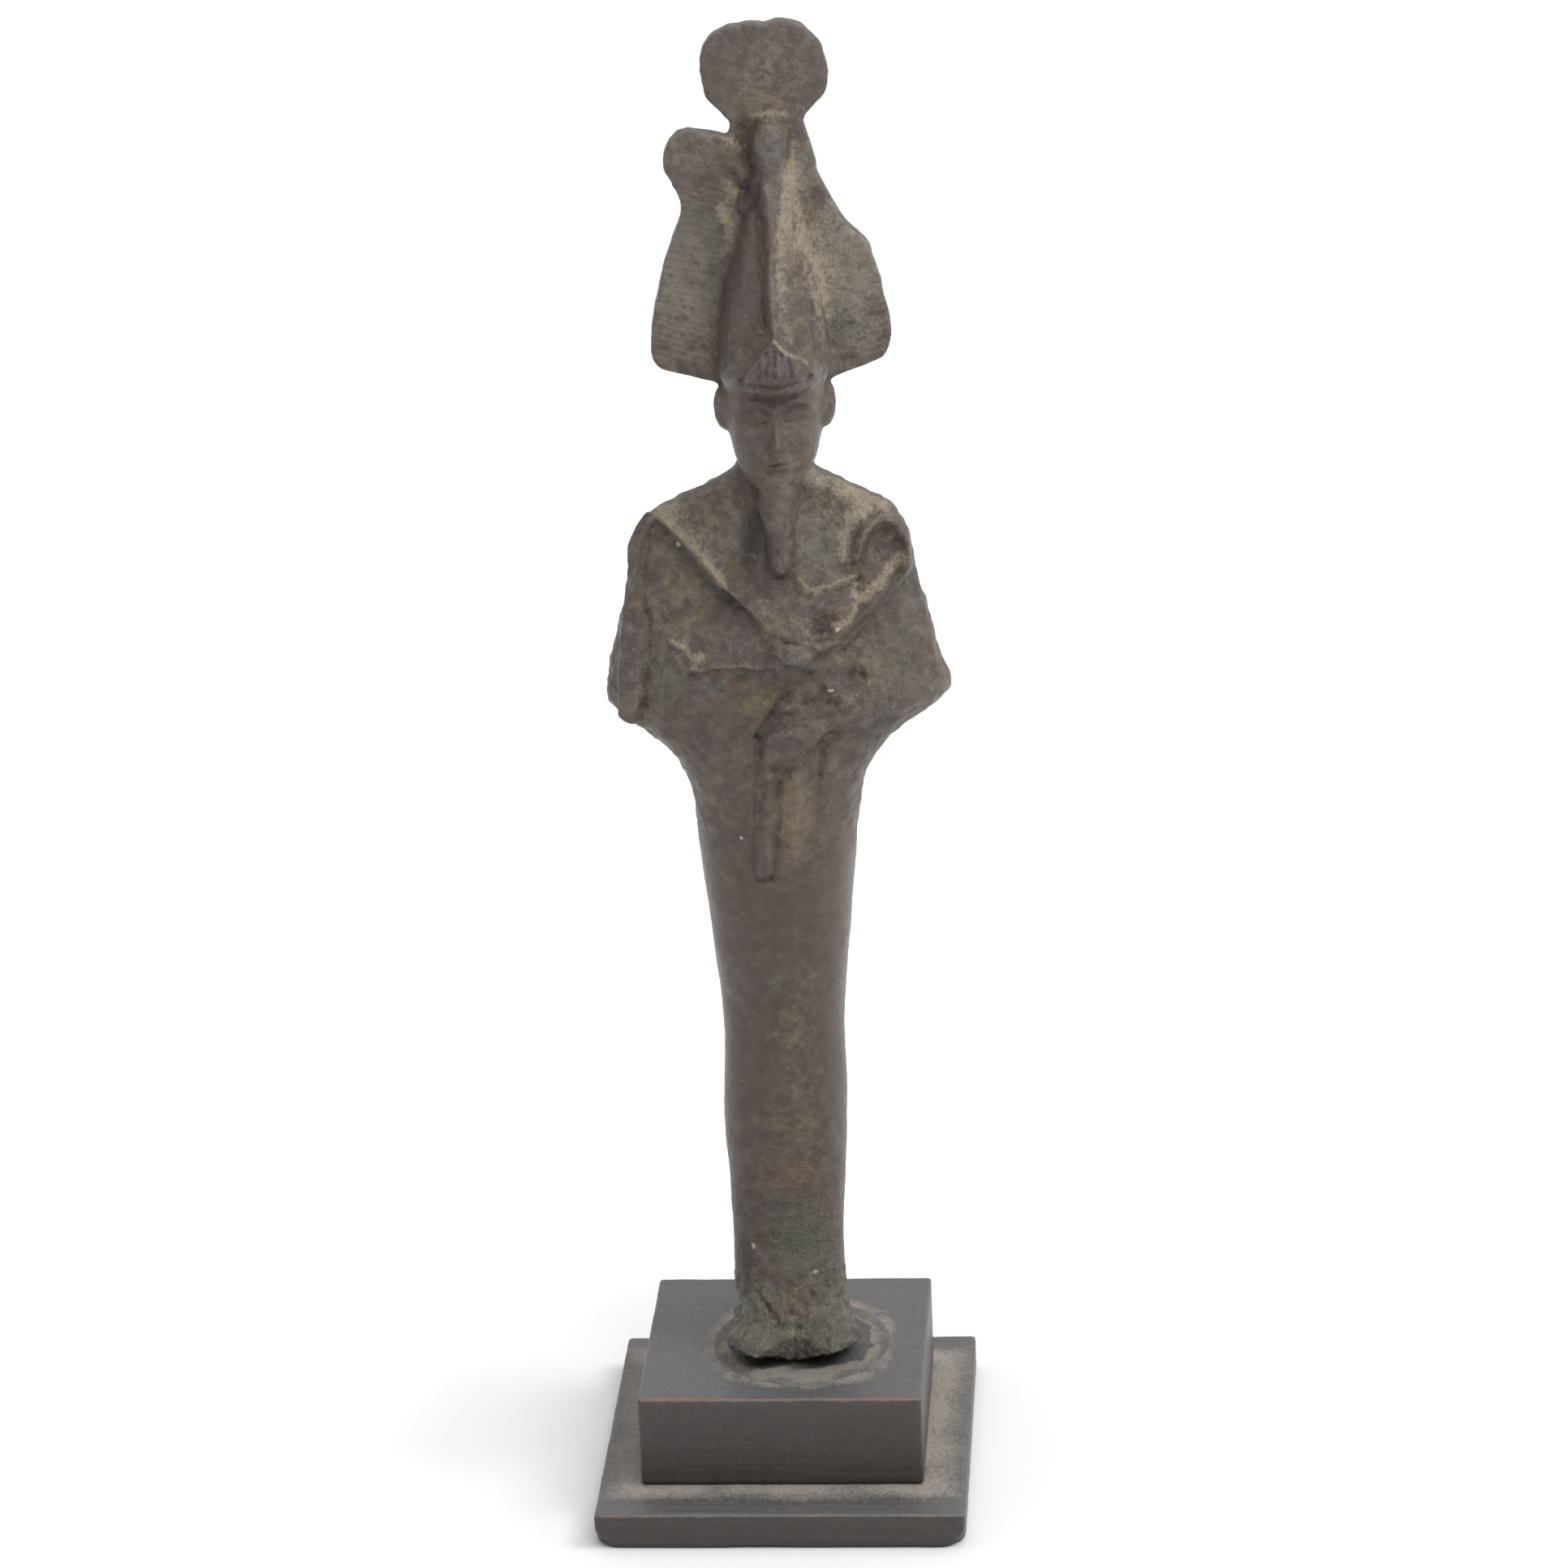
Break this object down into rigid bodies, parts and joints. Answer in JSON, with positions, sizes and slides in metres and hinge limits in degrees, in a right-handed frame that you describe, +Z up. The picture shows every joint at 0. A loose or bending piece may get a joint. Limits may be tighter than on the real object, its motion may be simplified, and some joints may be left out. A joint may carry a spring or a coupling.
{
  "type": "votive statuette",
  "caption": "Small cast bronze mummiform god with plumed crown, sun disc, crook and flail, on a stepped wooden plinth.",
  "frame": {"origin": "centre of the plinth's underside", "axes": "+Z up, the figure faces -Y, +X to the right as it is seen from the front"},
  "size_m": [0.05, 0.053, 0.2022],
  "materials": {
    "bronze": "old cast bronze, dark brown grey patina with greenish and purple brown areas, ochre dust in its recesses",
    "plinth_wood": "wood stained near black, satin, worn to brown along its edges, dust on its ledges",
    "compound": "matt dusty setting compound"
  },
  "bodies": {
    "root": {"base_plate": "plinth_wood", "base_block": "plinth_wood", "setting_bed": "compound", "bronze_figure": "bronze"}
  },
  "joints": []
}
